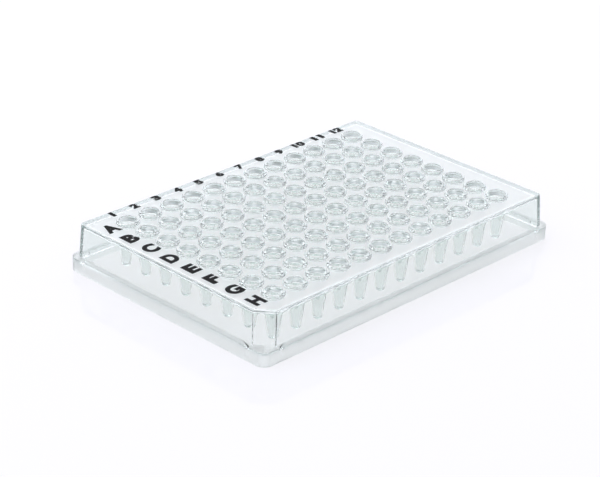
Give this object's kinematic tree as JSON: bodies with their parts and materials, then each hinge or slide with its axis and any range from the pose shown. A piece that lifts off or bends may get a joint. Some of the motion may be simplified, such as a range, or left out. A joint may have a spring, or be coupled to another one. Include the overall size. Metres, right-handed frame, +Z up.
{
  "type": "96-well plate",
  "caption": "Clear one-piece well plate with a full skirt, a stepped foot flange, one cut corner and a grid of raised-rim tapered wells.",
  "frame": {"origin": "centre of the footprint on the base plane", "axes": "+X along the columns, from column 1 to column 12; +Y from row H towards row A; +Z up, out of the wells"},
  "size_m": [0.1278, 0.0854, 0.0159],
  "materials": {
    "clear_polypropylene": "moulded, clear, glossy",
    "black_ink": "printed row letters and column numbers"
  },
  "bodies": {
    "root": {"well_plate": "clear_polypropylene"}
  },
  "joints": []
}
